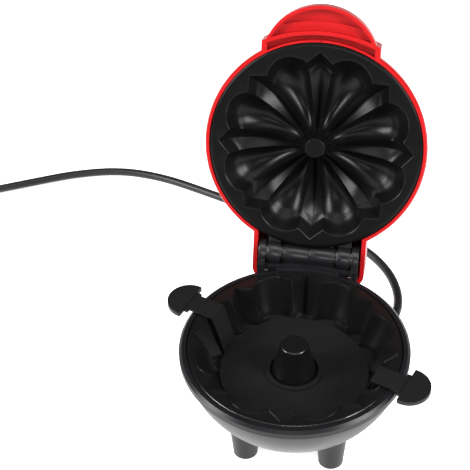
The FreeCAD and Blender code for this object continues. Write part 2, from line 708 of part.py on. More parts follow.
def make_hinge_bracket():
    """Saddle that fills the notch in the bowl's rim, with two ears and a centre knuckle."""
    saddle = common("saddle", bowl_outside("saddle_outside"),
                    block("saddle_zone", (-31, 31), (40, 80), (PLANE - 10, PLANE)))
    tab_ring = turned("bracket_tab_ring", [
        (53.8, PLANE - 22), (56.1, PLANE - 22), (58.8, PLANE - 16), (60.8, PLANE - 10),
        (61.9, PLANE - 5.5), (59.5, PLANE - 5.5), (58.4, PLANE - 10), (56.4, PLANE - 16)])
    tabs = []
    for side in (-1, 1):
        x = (9, 19) if side > 0 else (-19, -9)
        zone = block(f"tab_zone_{side}", x, (40, 70), (PLANE - 22, PLANE - 5.5))
        tabs.append(common(f"tab_{side}", zone, tab_ring))
        tabs.append(cylinder(f"tab_boss_{side}", 3.6, 2.6, side * 14, 53.0, PLANE - 16, "y"))
    ears = []
    for side in (-1, 1):
        start = EAR_INNER if side > 0 else -EAR_OUTER
        width = EAR_OUTER - EAR_INNER
        ears.append(cylinder(f"ear_{side}", EAR_RADIUS, width, start, HINGE_Y, HINGE_Z, "x"))
        ears.append(block(f"ear_neck_{side}", (start, start + width), (57, HINGE_Y + 4),
                          (PLANE - 2, HINGE_Z)))
        cradle_start = CENTRE_HALF - 0.6 if side > 0 else -EAR_INNER - 0.6
        cradle_width = EAR_INNER - CENTRE_HALF + 1.2
        ears.append(cradle(f"cradle_{side}", cradle_start, cradle_width))
    knuckle = cylinder("centre_knuckle", CENTRE_RADIUS, 2 * CENTRE_HALF, -CENTRE_HALF, HINGE_Y,
                       HINGE_Z, "x")
    neck = block("centre_neck", (-CENTRE_HALF, CENTRE_HALF), (58, HINGE_Y + 2),
                 (PLANE - 3, HINGE_Z - 3))
    seam = block("centre_seam", (-0.3, 0.3), (50, 90), (HINGE_Z - 2, HINGE_Z + 10))
    seam_core = cylinder("seam_core", CENTRE_RADIUS - 0.7, 2, -1, HINGE_Y, HINGE_Z, "x")
    mouth = cylinder("bracket_mouth", size.plate_seat, 60, z=PLANE - 3.4)
    inner = cylinder("bracket_inner", 61.0, 8, z=PLANE - 10.5)
    lid_room = cylinder("bracket_lid_room", size.lid_plate_radius + 0.3, 40, z=PLANE + 1)
    pin_bores = []
    head_bores = []
    screw_holes = []
    for side in (-1, 1):
        bore_start = 10 if side > 0 else -31
        pin_bores.append(cylinder(f"pin_bore_{side}", size.pin_radius + size.running_gap, 21,
                                  bore_start, HINGE_Y, HINGE_Z, "x"))
        head_start = 28.9 if side > 0 else -31
        head_bores.append(cylinder(f"head_bore_{side}", 4.1, 2.1, head_start, HINGE_Y, HINGE_Z,
                                   "x"))
        screw_holes.append(cylinder(f"bracket_screw_hole_{side}",
                                    size.small_screw + size.running_gap, 7, side * 14, 52.5,
                                    PLANE - 16, "y"))
    form = fuse("bracket_form", saddle, *ears, knuckle, neck)
    hollowed = cut("bracket_hollowed", form, mouth, inner, lid_room)
    body = fuse("bracket_body", hollowed, *tabs)
    part("hinge_bracket", cut("hinge_bracket", body, *pin_bores, *head_bores, *screw_holes,
                              cut("seam", seam, seam_core)))


def make_hinge_hardware():
    screws = []
    for side in (-1, 1):
        piece = screw(f"bracket_screw_{side}", size.small_screw, 2.9, 1.5, 5.2)
        screws.append(place(piece, side * 14, 58.6, PLANE - 16, TURNS["-y"]))
    part("hinge_bracket_screws", compound("bracket_screws", *screws))
    for side, word in ((-1, "left"), (1, "right")):
        shaft_start = 10.3 if side > 0 else -29.0
        shaft = cylinder("pin_shaft_" + word, size.pin_radius, 18.7, shaft_start, HINGE_Y,
                         HINGE_Z, "x")
        head_start = 28.95 if side > 0 else -30.25
        head = cylinder("pin_head_" + word, 4.05, 1.3, head_start, HINGE_Y, HINGE_Z, "x")
        part("hinge_pin_" + word, fuse("hinge_pin_" + word, shaft, head))
    washers = []
    for n, start in enumerate((25.5, 16.7, -26.1, -17.3)):
        disc = cylinder(f"washer_disc_{n}", 6.2, 0.6, start, HINGE_Y, HINGE_Z, "x")
        hole = cylinder(f"washer_hole_{n}", size.pin_radius + size.running_gap, 2, start - 1,
                        HINGE_Y, HINGE_Z, "x")
        washers.append(cut(f"washer_{n}", disc, hole))
    part("hinge_washers", compound("hinge_washers", *washers))


# ---- lifter ----

def make_lifter():
    """Soft lifter: a disc round the centre post and two straps that end in finger tabs."""
    floor = float(PAN_FLOOR)
    top = float(PLANE) + float(size.lip_height)
    sheet_thickness = size.lifter_sheet
    disc = cylinder("lifter_disc", size.lifter_radius, sheet_thickness, z=PAN_FLOOR + 0.1)
    collar = cylinder("lifter_collar", 16.8, sheet_thickness + 1.3, z=PAN_FLOOR + 0.1)
    hole = cylinder("lifter_hole", 14.1, 12, z=PAN_FLOOR - 1)
    solids = [disc, collar]
    low, high = floor + 0.1, top + 0.2
    strap = float(size.strap_sheet)
    for side in (0, 180):
        body = padded(f"strap_{side}", "XZ_Plane", [
            (38, low), (44.4, low), (51.9, high), (70, high), (70, high + strap),
            (50.9, high + strap), (43.4, low + 1.3), (38, low + 1.3)], size.strap_width)
        turn = Rotation(Vector(0, 0, 1), float(size.lifter_turn) + side)
        body.Placement = Placement(Vector(), turn)
        solids.append(body)
        tab = cylinder(f"tab_{side}", size.tab_radius, size.tab_height, size.tab_centre, 0,
                       high - 1.2)
        zone = block(f"tab_zone_of_{side}", (size.tab_flat, 95), (-20, 20), (50, 80))
        trimmed = common(f"tab_trimmed_{side}", tab, zone)
        neck = block(f"tab_neck_{side}", (67.0, size.tab_flat + 1), (-8.2, 8.2),
                     (high - 0.6, high + strap))
        for piece in (trimmed, neck):
            piece.Placement = Placement(Vector(), turn).multiply(piece.Placement)
            solids.append(piece)
    part("lifter", cut("lifter", fuse("lifter_form", *solids), hole))


# ---- lid ----

def handle_form():
    """The tab in front of the lid, and the band across its root, before anything is cut away."""
    low = cylinder("handle_low", size.handle_radius, 6, 0, -size.handle_back, LID_PLANE)
    top = half_ellipsoid("handle_top", 10, size.handle_radius, 0, -size.handle_back,
                         LID_PLANE + 6, upper=True)
    zone = padded("band_zone", "XY_Plane", [
        (-31.0, -70), (31.0, -70), (34.2, -65.5), (34.2, -48), (-34.2, -48), (-34.2, -65.5)], 200)
    band = common("handle_band",
                  cylinder("band_disc", size.band_radius, 12, 0, size.band_centre, LID_PLANE), zone)
    return fuse("handle_form", low, top, band)


def handle_recesses():
    """The hollow underside of the tab, in two steps that follow the band."""
    recess = cut("handle_recess",
                 cylinder("recess_disc", size.handle_radius - size.handle_lip, 4, 0,
                          -size.handle_back, LID_PLANE - 1),
                 cylinder("recess_limit", size.band_radius, 20, 0, size.band_centre,
                          LID_PLANE - 5))
    deep = cut("handle_deep_recess",
               cylinder("deep_disc", size.handle_radius - size.handle_lip - 0.6, 5.4, 0,
                        -size.handle_back, LID_PLANE - 1),
               cylinder("deep_limit", size.band_radius + 5, 20, 0, size.band_centre,
                        LID_PLANE - 5))
    return [recess, deep]


def handle_slot():
    """The slot between the band and the lid plate, and the notch in its thin inner wall."""
    slot = common("slot_form",
                  cylinder("slot_disc", size.band_radius - size.band_wall, 6, 0,
                           size.band_centre, LID_PLANE - 1),
                  block("slot_zone", (-31, 31), (-75, -50), (60, 100)))
    notch = block("slot_notch", (-0.9, 0.9), (-66, -63.6), (LID_PLANE - 1, LID_PLANE + 1.2))
    return [cut("slot", slot, cylinder("slot_limit", size.slot_inner, 20, z=LID_PLANE - 5)), notch]


def make_lid_shell():
    """Dome with the handle tab in front and the hinge hood behind, in one moulding."""
    dome = half_ellipsoid("dome", size.lid_depth, size.lid_radius, z=DOME_CENTRE, upper=True)
    shoulder = cone("dome_shoulder", size.lid_lip_radius, size.lid_radius, size.lid_drop,
                    z=LID_PLANE)
    outside = fuse("lid_outside", dome, shoulder)
    handle = cut("handle", handle_form(), *handle_recesses())
    hood_box = block("hood_box", (-size.hood_half, size.hood_half), (45, size.hood_back),
                     (LID_PLANE, PLANE + size.hood_top))
    back = float(size.hood_back)
    crown = float(PLANE + size.hood_top)

    def hood_edge(edge):
        box = edge.BoundBox
        at_back = box.YMin > back - 0.01
        at_side = abs(abs(box.Center.x) - float(size.hood_half)) < 0.01 and box.YLength > 1
        upright = box.ZLength > 1 and at_back
        return upright or (box.ZMin > crown - 0.01 and (at_back or at_side))

    hood = rounded("hood", hood_box, 7.0, hood_edge)
    hollow = half_ellipsoid("dome_hollow", size.lid_depth - size.wall, size.lid_radius - size.wall,
                            z=DOME_CENTRE, upper=True)
    mouth = cylinder("lid_mouth", size.lid_seat, 4, z=LID_PLANE - 1)
    inner_half = size.hood_half - size.hood_wall
    hood_hollow_box = block("hood_hollow_box", (-inner_half, inner_half),
                            (40, size.hood_back - size.hood_wall),
                            (LID_PLANE - 10, PLANE + size.hood_top - size.hood_wall))
    inner_back = back - float(size.hood_wall)

    def inner_edge(edge):
        box = edge.BoundBox
        return box.YMin > inner_back - 0.01 and box.ZLength > 1

    hood_hollow = rounded("hood_hollow", hood_hollow_box, 4.6, inner_edge)
    back_notch = block("back_notch", (-inner_half + 3, inner_half - 3), (75, 95),
                       (LID_PLANE - 1, LID_PLANE + size.hood_lift))
    slot_wall = common("slot_wall",
                       cut("slot_wall_ring", cylinder("slot_wall_outer", 64.6, 5, z=LID_PLANE + 3),
                           cylinder("slot_wall_inner", 62.6, 9, z=LID_PLANE + 2)),
                       block("slot_wall_zone", (-35, 35), (-70, -45), (60, 100)))
    added = [slot_wall]
    holes = handle_slot()
    for side in (-1, 1):
        added.append(cylinder(f"lid_boss_{side}", 3.4, 8.1, side * 12, 64.5, PLANE + 21))
        holes.append(cylinder(f"lid_boss_hole_{side}", size.small_screw + size.running_gap, 7.6,
                              side * 12, 64.5, PLANE + 20))
    lens_hole = cylinder("lens_hole", 3.05, 20, 0, -22, LID_PLANE + 32.8)
    empty = cut("lid_empty", fuse("lid_form", outside, handle, hood), hollow, mouth, hood_hollow,
                back_notch, lens_hole)
    part("lid_shell", cut("lid_shell", fuse("lid_with_walls", empty, *added), *holes), lid=True)


def make_lid_plate():
    """Cast lid plate: flange, outline wall, eight lobes and eight grooves, all of one thickness."""
    plane = float(LID_PLANE)
    depth, draft = float(size.lid_wall_depth), float(size.lid_wall_draft)
    casting = float(size.casting)
    radius = size.lid_plate_radius
    flange = turned("lid_flange", [
        (44, LID_PLANE), (radius - 0.8, LID_PLANE), (radius, LID_PLANE + 0.8),
        (radius, LID_PLANE + size.plate_flange), (44, LID_PLANE + size.plate_flange)])
    wall = cut("lid_outline_wall",
               common("lid_outline_trimmed",
                      flower_solid("lid_outline", (1.0, casting, plane + 0.5),
                                   (draft, casting, plane + depth + casting)),
                      cylinder("lid_outline_limit", 58.3, 30, z=LID_PLANE)),
               cylinder("lid_outline_middle", 40, 40, z=LID_PLANE - 5))
    backs = [shape_feature(f"flute_backs_{n}", wedge)
             for n, wedge in enumerate(flute_wedges(plane, back=True))]
    centre = cylinder("lid_centre", 8, size.plate_flange, z=LID_PLANE)
    rail = cut("heater_rail", cylinder("heater_rail_outer", size.heater_radius + 1.6, 8,
                                       z=LID_BACK - 8),
               cylinder("heater_rail_inner", size.heater_radius - 1.6, 12, z=LID_BACK - 10))
    stands = [block("fuse_stand", (-7, 7), (-17, -13), (LID_BACK - 8, LID_BACK))]
    for n, (sx, sy) in enumerate(CORNERS):
        reach = 36 * math.sqrt(0.5)
        stands.append(cylinder(f"spacer_stand_{n}", 4.2, 8, reach * sx, reach * sy, LID_BACK - 8))
    mouth = flower_solid("lid_mouth_wall", (1.0, 0, plane), (draft, 0, plane + depth))
    above = flower_solid("lid_mouth_above", (1.0, 0, plane - 2), (1.0, 0, plane))
    middle = cylinder("lid_middle", 30, 40, z=LID_PLANE - 20)
    ring = cut("lid_wall_ring", fuse("lid_wall", mouth, above), middle)
    flutes = [shape_feature(f"flutes_{n}", wedge)
              for n, wedge in enumerate(flute_wedges(plane, back=False))]
    form = fuse("lid_plate_form", flange, wall, centre, rail, *stands, *backs)
    part("lid_plate", cut("lid_plate", form, ring, *flutes), lid=True)


def make_lid_inside():
    back = LID_BACK
    tube_z = back + size.heater_tube + 0.05
    part("lid_heater", heater("lid_heater", tube_z, lid=True), lid=True)
    sheet_low = back + 12
    shield = turned("lid_shield_dish", [
        (11, sheet_low), (42, sheet_low), (46, sheet_low - 8), (46.6, sheet_low - 8),
        (42.6, sheet_low + size.shield_sheet), (11, sheet_low + size.shield_sheet)])
    slot = block("lid_shield_slot", (-11.5, 11.5), (20, 29.5), (sheet_low - 2, sheet_low + 3))
    lead_notch = block("lid_lead_notch", (-11.5, 11.5), (39, 50), (sheet_low - 9, sheet_low + 3))
    posts = []
    screws = []
    holes = []
    for n, (sx, sy) in enumerate(CORNERS):
        x, y = 36 * sx * math.sqrt(0.5), 36 * sy * math.sqrt(0.5)
        holes.append(cylinder(f"lid_shield_hole_{n}", size.small_screw + size.running_gap, 5, x, y,
                              sheet_low - 2))
        piece = screw(f"lid_shield_screw_{n}", size.small_screw, 2.8, 1.6, 8)
        screws.append(place(piece, x, y, sheet_low + size.shield_sheet, TURNS["-z"]))
        tube = cylinder(f"spacer_tube_{n}", 3.2, 12, x, y, back)
        bore = cylinder(f"spacer_bore_{n}", size.small_screw + size.running_gap, 9, x, y, back + 4)
        posts.append(cut(f"spacer_{n}", tube, bore))
    part("lid_heat_shield", cut("lid_heat_shield", shield, slot, lead_notch, *holes),
         lid=True)
    part("lid_shield_screws", compound("lid_shield_screws", *screws), lid=True)
    part("lid_shield_spacers", compound("lid_shield_spacers", *posts), lid=True)
    part("lid_thermal_fuse", thermal_fuse("lid_fuse", 0, -15, back + 2.0), lid=True)
    low = float(back)
    routes = [[Vector(side * 7.82, 24.8, low + 16.1), Vector(side * 7.82, 24.8, low + 18.9),
               Vector(side * 9, 37, low + 16.5), Vector(side * 8.5, 49.5, low + 8),
               Vector(side * 6, 53.9, low - 4)] for side in (-1, 1)]
    leads = [report_tube(f"lid_lead_{n}", route, 0.9) for n, route in enumerate(routes)]
    part("lid_wiring", compound("lid_wiring", *leads), lid=True)
    lens_base = LID_PLANE + 40.8
    lens = turned("indicator_lens", [
        (0, lens_base), (3, lens_base), (3, lens_base + 5.6), (2.2, lens_base + 6.3),
        (0, lens_base + 6.5)])
    place(lens, 0, -22, 0)
    part("indicator_lens", lens, lid=True)
    lamp = turned("indicator_lamp", [
        (0, lens_base - 8.1), (1.9, lens_base - 8.1), (1.9, lens_base - 1.6),
        (1, lens_base - 0.1), (0, lens_base - 0.1)])
    place(lamp, 0, -22, 0)
    part("indicator_lamp", lamp, lid=True)


def make_lid_hinge_block():
    """Black block behind the lid plate, with the two outer knuckles that turn on the pins."""
    bridge = block("bridge", (-KNUCKLE_OUTER, KNUCKLE_OUTER), (58.6, 61.4),
                   (PLANE + 5.9, PLANE + 20.9))
    shelf = block("shelf", (-KNUCKLE_OUTER, KNUCKLE_OUTER), (60, 68), (PLANE + 15, PLANE + 20.9))
    knuckles = []
    for side in (-1, 1):
        start = KNUCKLE_INNER if side > 0 else -KNUCKLE_OUTER
        width = KNUCKLE_OUTER - KNUCKLE_INNER
        knuckles.append(cylinder(f"knuckle_{side}", KNUCKLE_RADIUS, width, start, HINGE_Y,
                                 HINGE_Z, "x"))
        knuckles.append(block(f"knuckle_arm_{side}", (start, start + width), (61, HINGE_Y),
                              (HINGE_Z - 1, PLANE + 16)))
    clear = cylinder("flange_clear", size.lid_plate_radius + 0.2, 5.7, z=PLANE)
    bores = [cylinder("knuckle_bore", size.pin_radius + size.running_gap, 60, -30, HINGE_Y,
                      HINGE_Z, "x")]
    screws = []
    for side in (-1, 1):
        bores.append(cylinder(f"block_hole_{side}", size.small_screw + size.running_gap, 12,
                              side * 12, 64.5, PLANE + 12))
        bores.append(cylinder(f"block_seat_{side}", 3.0, 2.6, side * 12, 64.5, PLANE + 14.9))
        piece = screw(f"lid_hinge_screw_{side}", size.small_screw, 2.8, 1.8, 9)
        screws.append(place(piece, side * 12, 64.5, PLANE + 17.5))
    part("lid_hinge_block", cut("lid_hinge_block",
                                fuse("lid_block_form", bridge, shelf, *knuckles), clear, *bores),
         lid=True)
    part("lid_hinge_screws", compound("lid_hinge_screws", *screws), lid=True)


# ---- mains cord ----

CORD_ROUTE = [
    (41.2, 69.8, 11.3), (48.0, 81.5, 5.9), (53.4, 94.2, 2.95), (56.0, 108.0, 2.95),
    (54.2, 123.5, 2.95), (46.5, 142.0, 2.95), (31.0, 160.5, 2.95), (5.5, 176.0, 2.95),
    (-28.0, 187.0, 2.95), (-62.0, 197.5, 2.95), (-96.0, 211.0, 2.95), (-128.0, 222.5, 2.95),
    (-161.0, 226.5, 2.95), (-194.0, 218.0, 2.95), (-225.0, 203.0, 2.95), (-256.0, 187.5, 2.95),
    (-288.0, 176.5, 2.95),
]


def make_cord():
    """Gland, free cord, stored turns with their tie, and the plug."""
    gland_tip = GLAND_START + GLAND_AXIS * float(size.gland_length)
    bore_radius = float(size.cord_radius)
    relief = fuse("gland_form",
                  along_gland(cylinder("gland_neck", GLAND_NECK, 9), GLAND_BOSS[0] - 1),
                  along_gland(cylinder("gland_inner_flange", 5.8, 1.8), GLAND_BOSS[0] - 1.8),
                  along_gland(cylinder("gland_collar", 6.4, 3), GLAND_BOSS[1]),
                  along_gland(cone("gland_tail", 5.2, bore_radius + 0.9,
                                   size.gland_length - 4.5), 4.5))
    grooves = []
    for n in range(5):
        ring = bind(doc.addObject("Part::Torus", f"gland_groove_{n}"),
                    Radius1=5.5 - n * 0.22, Radius2=0.8)
        grooves.append(along_gland(ring, 8 + n * 3.5))
    part("strain_relief", cut("strain_relief", relief, *grooves))
    route = [gland_tip] + [Vector(*point) for point in CORD_ROUTE]
    tube, length, smallest, ratio = tube_along(route, bore_radius)
    print(f"power_cord: length {length:.1f}, smallest bend radius {smallest:.1f}, "
          f"volume over section x length {ratio:.4f}")
    part("power_cord", shape_feature("power_cord", tube))
    half, middle = size.coil_half_width, size.coil_radius
    coil = turned("cord_coil", [
        (middle - half + 1.5, 0), (middle + half - 1.5, 0), (middle + half, 1.5),
        (middle + half, size.coil_height - 1.5), (middle + half - 1.5, size.coil_height),
        (middle - half + 1.5, size.coil_height), (middle - half, size.coil_height - 1.5),
        (middle - half, 1.5)])
    place(coil, size.coil_x, size.coil_y, 0.05)
    part("cord_coil", coil)


# The plug lies beside the stored turns, turned a little away from them.
PLUG_TURN = 25.0
PLUG_TAIL = 28.0


def make_cord_end():
    """A tie round the bundle, and a flat two-pin plug that lies beside the coil."""
    x, y = float(size.coil_x), float(size.coil_y)
    middle, half = float(size.coil_radius), float(size.coil_half_width)
    top = float(size.coil_height)
    outer = block("tie_outer", (x + middle - half - 1.1, x + middle + half + 1.1),
                  (y - 2, y + 2), (0, top + 1.2))
    inner = block("tie_inner", (x + middle - half - 0.05, x + middle + half + 0.05),
                  (y - 5, y + 5), (0.02, top + 0.1))
    outer_round = rounded("tie_round", outer, 1.0, lambda e: e.BoundBox.YLength > 3
                          and e.BoundBox.ZMin > top)
    part("cord_tie", cut("cord_tie", outer_round, inner))
    plug = Placement(Vector(x - middle - 0.5, y + 1.5, 6.9), Rotation(Vector(0, 0, 1), PLUG_TURN))
    tail = cone("plug_tail", 3.5, 5.4, PLUG_TAIL, along="y")
    half_thick, half_wide = 6.8, 17.0
    form = padded("plug_form", "XY_Plane", [
        (-6, 0), (6, 0), (half_wide, 11), (half_wide, 27), (9.5, 33), (-9.5, 33),
        (-half_wide, 27), (-half_wide, 11)], 2 * half_thick)
    place(form, 0, PLUG_TAIL - 1, 0)
    form_round = rounded("plug_round", form, 2.0, lambda e: e.BoundBox.ZLength < 0.1)
    pins = []
    holes = []
    for side in (-1, 1):
        pins.append(cylinder(f"plug_pin_{side}", 2.0, 23, side * 9.5, PLUG_TAIL + 28, 0, "y"))
        holes.append(cylinder(f"plug_pin_hole_{side}", 2.0, 6, side * 9.5, PLUG_TAIL + 28, 0, "y"))
    body = cut("plug_body", fuse("plug_whole", tail, form_round), *holes)
    pair = compound("plug_pins", *pins)
    body.Placement = plug
    pair.Placement = plug
    part("plug_body", body)
    part("plug_pins", pair)


def make_cord_clamp():
    """Bar that holds the cord's end inside the bowl, with its two screws."""
    x, y, z = CLAMP
    bar = block("clamp_bar", (x - 9.5, x + 9.5), (y - 3, y + 3), (z, z + 2.6))
    holes = [cylinder(f"clamp_hole_{n}", size.small_screw + size.running_gap, 6, x + dx, y, z - 1)
             for n, dx in enumerate(CLAMP_SCREWS)]
    part("cord_clamp", cut("cord_clamp", bar, *holes))
    screws = []
    for n, dx in enumerate(CLAMP_SCREWS):
        piece = screw(f"clamp_screw_{n}", size.small_screw, 2.6, 1.5, 4.8)
        screws.append(place(piece, x + dx, y, z + 2.6, TURNS["-z"]))
    part("cord_clamp_screws", compound("clamp_screws", *screws))


make_base_shell()
make_foot_pads()
make_base_case_screws()
make_base_plate()
make_base_heating()
make_base_wiring()
make_hinge_bracket()
make_hinge_hardware()
make_lifter()
make_cord_clamp()
make_lid_shell()
make_lid_plate()
make_lid_inside()
make_lid_hinge_block()
make_cord()
make_cord_end()
doc.recompute()

failed = [o.Label for o in doc.Objects if "Invalid" in o.State or "Error" in o.State]
bad = [o.Label for o in PARTS if o.Shape.isNull() or not o.Shape.isValid()]
if failed or bad:
    raise RuntimeError(f"failed objects {failed}, bad shapes {bad}")

os.makedirs("parts", exist_ok=True)
for obj in PARTS:
    obj.Shape.exportStep(f"parts/{obj.Label}.step")
    box = obj.Shape.BoundBox
    print(f"{obj.Label}: {len(obj.Shape.Solids)} solid(s), volume {obj.Shape.Volume:.0f}, "
          f"x {box.XMin:.1f}..{box.XMax:.1f} y {box.YMin:.1f}..{box.YMax:.1f} "
          f"z {box.ZMin:.1f}..{box.ZMax:.1f}")
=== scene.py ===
import math

import bmesh
import bpy
from mathutils import Matrix, Vector


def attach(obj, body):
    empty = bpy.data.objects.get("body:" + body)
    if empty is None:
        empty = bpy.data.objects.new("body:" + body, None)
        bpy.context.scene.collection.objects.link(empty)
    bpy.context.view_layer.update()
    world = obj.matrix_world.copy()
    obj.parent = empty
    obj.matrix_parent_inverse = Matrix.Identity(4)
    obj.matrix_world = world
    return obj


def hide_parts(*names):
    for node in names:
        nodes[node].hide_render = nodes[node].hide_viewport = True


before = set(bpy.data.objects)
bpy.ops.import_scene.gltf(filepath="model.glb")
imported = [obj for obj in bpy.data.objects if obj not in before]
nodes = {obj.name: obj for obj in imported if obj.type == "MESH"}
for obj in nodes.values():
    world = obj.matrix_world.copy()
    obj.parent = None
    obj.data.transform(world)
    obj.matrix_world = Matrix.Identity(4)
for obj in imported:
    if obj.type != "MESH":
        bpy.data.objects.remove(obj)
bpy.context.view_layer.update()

scene = bpy.context.scene
scene.view_settings.view_transform = "Standard"

AZIMUTH, ELEVATION, ROLL = math.radians(10.63), math.radians(40.62), math.radians(-1.75)
CAMERA_AT = Vector((0.0634, -0.5116, 0.5930))
LENS = 97.88


# ---- camera ----

def make_camera():
    back = Vector((math.sin(AZIMUTH) * math.cos(ELEVATION),
                   -math.cos(AZIMUTH) * math.cos(ELEVATION), math.sin(ELEVATION)))
    right = Vector((math.cos(AZIMUTH), math.sin(AZIMUTH), 0))
    up = back.cross(right)
    rolled_right = right * math.cos(ROLL) + up * math.sin(ROLL)
    rolled_up = up * math.cos(ROLL) - right * math.sin(ROLL)
    data = bpy.data.cameras.new("camera")
    data.lens = LENS
    data.clip_start, data.clip_end = 0.05, 20
    camera = bpy.data.objects.new("camera", data)
    scene.collection.objects.link(camera)
    turn = Matrix((rolled_right, rolled_up, back)).transposed().to_4x4()
    camera.matrix_world = Matrix.Translation(CAMERA_AT) @ turn
    scene.camera = camera


make_camera()


# ---- materials ----

VARIATION = 0.12
GRAIN_SCALE = 900


def material(name, colour, roughness, bump=0.0, metallic=0.0, specular=0.5):
    """Moulded or coated surface: colour and gloss vary a little, over a fine grain."""
    mat = bpy.data.materials.new(name)
    mat.use_nodes = True
    tree = mat.node_tree
    shader = tree.nodes["Principled BSDF"]
    shader.inputs["Metallic"].default_value = metallic
    shader.inputs["Specular IOR Level"].default_value = specular
    place = tree.nodes.new("ShaderNodeTexCoord")
    cloud = tree.nodes.new("ShaderNodeTexNoise")
    cloud.inputs["Scale"].default_value = 60
    cloud.inputs["Detail"].default_value = 6
    tree.links.new(place.outputs["Object"], cloud.inputs["Vector"])
    ramp = tree.nodes.new("ShaderNodeMapRange")
    ramp.inputs["To Min"].default_value = roughness * (1 - VARIATION)
    ramp.inputs["To Max"].default_value = roughness * (1 + VARIATION)
    tree.links.new(cloud.outputs["Fac"], ramp.inputs["Value"])
    tree.links.new(ramp.outputs["Result"], shader.inputs["Roughness"])
    tint = tree.nodes.new("ShaderNodeMix")
    tint.data_type = "RGBA"
    tint.inputs["A"].default_value = (*[c * (1 - VARIATION) for c in colour], 1)
    tint.inputs["B"].default_value = (*[min(1, c * (1 + VARIATION)) for c in colour], 1)
    tree.links.new(cloud.outputs["Fac"], tint.inputs["Factor"])
    tree.links.new(tint.outputs["Result"], shader.inputs["Base Color"])
    if bump:
        fine = tree.nodes.new("ShaderNodeTexNoise")
        fine.inputs["Scale"].default_value = GRAIN_SCALE
        fine.inputs["Detail"].default_value = 3
        tree.links.new(place.outputs["Object"], fine.inputs["Vector"])
        relief = tree.nodes.new("ShaderNodeBump")
        relief.inputs["Strength"].default_value = bump
        relief.inputs["Distance"].default_value = 0.0002
        tree.links.new(fine.outputs["Fac"], relief.inputs["Height"])
        tree.links.new(relief.outputs["Normal"], shader.inputs["Normal"])
    return mat


RED = material("red_gloss", (0.31, 0.003, 0.004), 0.32, bump=0.05, specular=0.22)
BLACK = material("black_moulding", (0.006, 0.006, 0.007), 0.30, bump=0.08, specular=0.38)
BOWL_BLACK = material("bowl_moulding", (0.005, 0.005, 0.006), 0.36, bump=0.08, specular=0.20)
COATING = material("nonstick", (0.0018, 0.0018, 0.0018), 0.32, bump=0.10, specular=0.12)
# The same non-stick coating as the lid plate, with its colour raised (and its specular raised) so
# that the pan reads brighter: painted light.
LIGHTENED_PAN_COATING = material("nonstick_pan_painted_light", (0.0032, 0.0032, 0.0032), 0.28, bump=0.10,
                       specular=0.34)
SILICONE = material("silicone", (0.0045, 0.0045, 0.005), 0.50, bump=0.2, specular=0.20)
RUBBER = material("rubber", (0.012, 0.012, 0.012), 0.6, bump=0.2, specular=0.4)
JACKET = material("jacket", (0.010, 0.010, 0.011), 0.42, bump=0.15, specular=0.3)
STEEL = material("steel", (0.6, 0.6, 0.6), 0.3, metallic=1.0)
# Washer steel with its colour darkened to stand in for the shade inside the hinge: painted shade.
HINGE_SHADE_STEEL = material("steel_darkened_for_hinge_shade", (0.09, 0.09, 0.095), 0.35, metallic=1.0)
BRASS = material("brass", (0.78, 0.66, 0.4), 0.25, metallic=1.0)
WHITE = material("insulator", (0.8, 0.78, 0.74), 0.5)
LENS_RED = material("lens", (0.6, 0.02, 0.01), 0.1)

LOOKS = {
    "base_shell": BOWL_BLACK, "hinge_bracket": BLACK, "lid_hinge_block": BLACK,
    "base_plate": LIGHTENED_PAN_COATING, "lid_plate": COATING, "lifter": SILICONE,
    "lid_shell": RED, "strain_relief": JACKET, "plug_body": JACKET, "cord_tie": SILICONE,
    "plug_pins": BRASS, "indicator_lens": LENS_RED, "hinge_washers": HINGE_SHADE_STEEL,
}


def default_look(name):
    if name.startswith("foot_pad"):
        return RUBBER
    if "screw" in name or "pin" in name or "washer" in name or "shield" in name:
        return STEEL
    if "heater" in name or "thermostat" in name:
        return STEEL
    return WHITE


for name, obj in nodes.items():
    look = LOOKS.get(name) or default_look(name)
    obj.data.materials.clear()
    obj.data.materials.append(look)


def soften(name, width):
    """Round a piece's hard edges a little, so that they catch the light."""
    weld = nodes[name].modifiers.new("weld", "WELD")
    weld.merge_threshold = 0.00002
    bevel = nodes[name].modifiers.new("bevel", "BEVEL")
    bevel.width = width
    bevel.segments = 2
    bevel.limit_method = "ANGLE"
    bevel.angle_limit = math.radians(35)
    bevel.harden_normals = True


soften("base_plate", 0.0005)
for name in ("lifter", "hinge_bracket", "lid_hinge_block"):
    soften(name, 0.0003)


# ---- lid plate: the same cast flutes as the CAD piece, with smooth lobes and rounded edges ----

LID_Z = 70.4
LID_PLATE_RADIUS = 63.0
HINGE_Y, HINGE_Z, OPEN = 69.7, 74.75, math.radians(-109.3)
SPIKES = 8
NOTCH = 8.4
HALF_SECTOR = 22.5
WALL_DEPTH = 7.3
CENTRE_RADIUS = 5.6

# Distance from the axis, then the depth in the groove, on the ridge and in the lobe.
FLUTES = [
    (3.0, -1.5, -1.5, -1.5), (5.6, 0.0, 0.0, 0.0), (8.0, 6.6, 4.8, 7.0), (11.5, 10.6, 7.6, 11.6),
    (19.0, 13.5, 9.9, 15.2), (27.5, 14.4, 10.6, 16.4), (36.0, 14.1, 10.1, 15.2),
    (42.5, 12.6, 7.9, 12.0), (47.5, 9.8, 3.9, 6.6), (51.5, 6.6, -0.6, 1.4),
    (56.5, 1.0, -7.0, -5.5), (64.0, -9.0, -17.0, -16.0),
]


def smooth_max(a, b, width):
    """The larger of two values, with the corner where they cross rounded over a width."""
    overlap = max(width - abs(a - b), 0) / width
    return max(a, b) + overlap * overlap * width / 4


